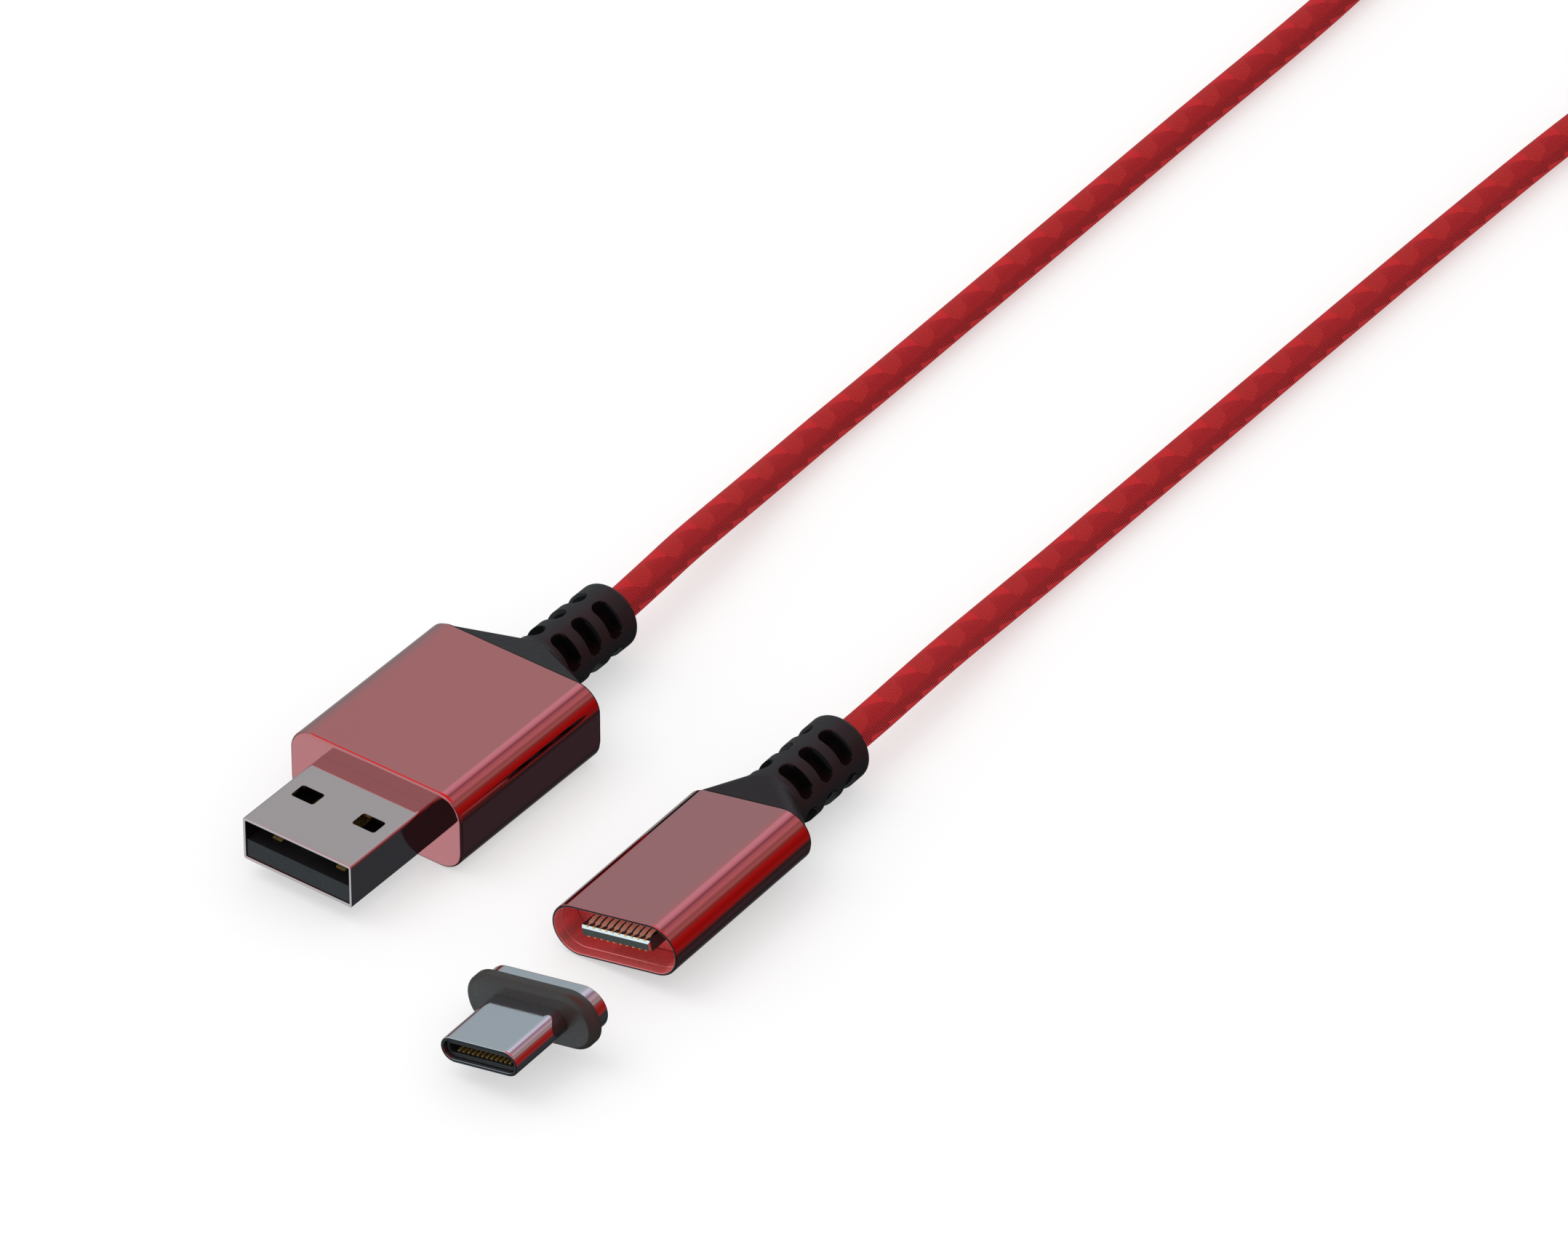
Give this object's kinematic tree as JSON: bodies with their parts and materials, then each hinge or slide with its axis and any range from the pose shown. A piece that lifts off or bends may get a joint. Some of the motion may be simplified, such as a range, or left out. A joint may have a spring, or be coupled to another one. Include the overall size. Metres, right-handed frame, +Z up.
{
  "type": "magnetic charging cable",
  "caption": "Charging cable with a USB-A plug, a coiled red braided cord, a magnetic connector and its separate USB-C tip, each in its own shell with a slotted black boot.",
  "frame": {"origin": "middle of the flat underside of the USB-A housing, on the table", "axes": "+Z up from the table; +Y from the USB-A plug's nose towards its cord; +X towards the magnetic connector"},
  "size_m": [0.0496, 0.2713, 0.0084],
  "materials": {
    "red_metal": "polished red anodised, mirror-like",
    "plug_steel": "satin nickel plate",
    "tip_steel": "polished nickel plate",
    "crimp_steel": "plain",
    "gold": "gold plate",
    "copper": "copper alloy with gold tips",
    "magnet": "nickel plated",
    "board": "solder mask",
    "wire": "insulated wire",
    "boot_rubber": "satin black elastomer",
    "tie": "hook and loop tape",
    "braid": "red nylon braid in a zigzag weave",
    "collar_plastic": "satin moulded",
    "black_plastic": "moulded"
  },
  "bodies": {
    "cable": {"usb_housing": "red_metal", "usb_shell": "plug_steel", "usb_insulator": "black_plastic", "usb_contact_1": "gold", "usb_contact_2": "gold", "usb_contact_3": "gold", "usb_contact_4": "gold", "usb_inner_mould": "black_plastic", "usb_wire_1": "wire", "usb_wire_2": "wire", "usb_wire_3": "wire", "usb_wire_4": "wire", "usb_crimp": "crimp_steel", "usb_boot": "boot_rubber", "dock_housing": "red_metal", "dock_base": "black_plastic", "dock_tongue": "black_plastic", "dock_contact_top_1": "copper", "dock_contact_top_2": "copper", "dock_contact_top_3": "copper", "dock_contact_top_4": "copper", "dock_contact_top_5": "copper", "dock_contact_top_6": "copper", "dock_contact_top_7": "copper", "dock_contact_top_8": "copper", "dock_contact_top_9": "copper", "dock_contact_top_10": "copper", "dock_contact_bottom_1": "copper", "dock_contact_bottom_2": "copper", "dock_contact_bottom_3": "copper", "dock_contact_bottom_4": "copper", "dock_contact_bottom_5": "copper", "dock_contact_bottom_6": "copper", "dock_contact_bottom_7": "copper", "dock_contact_bottom_8": "copper", "dock_contact_bottom_9": "copper", "dock_contact_bottom_10": "copper", "dock_magnet_left": "magnet", "dock_magnet_right": "magnet", "dock_pcb": "board", "dock_wire_1": "wire", "dock_wire_2": "wire", "dock_wire_3": "wire", "dock_wire_4": "wire", "dock_crimp": "crimp_steel", "dock_boot": "boot_rubber", "cord_usb_run": "braid", "cord_coil": "braid", "cord_dock_run": "braid", "cord_tie": "tie"},
    "tip": {"tip_shell": "tip_steel", "tip_insulator": "black_plastic", "tip_pcb": "board", "tip_collar": "collar_plastic", "tip_plate": "tip_steel", "tip_socket": "black_plastic"}
  },
  "joints": [
    {"name": "tip_dock", "type": "slide", "parent": "cable", "child": "tip", "axis": [-0.0204, 0.9998, 0], "range_m": [0, 0.01105]}
  ]
}
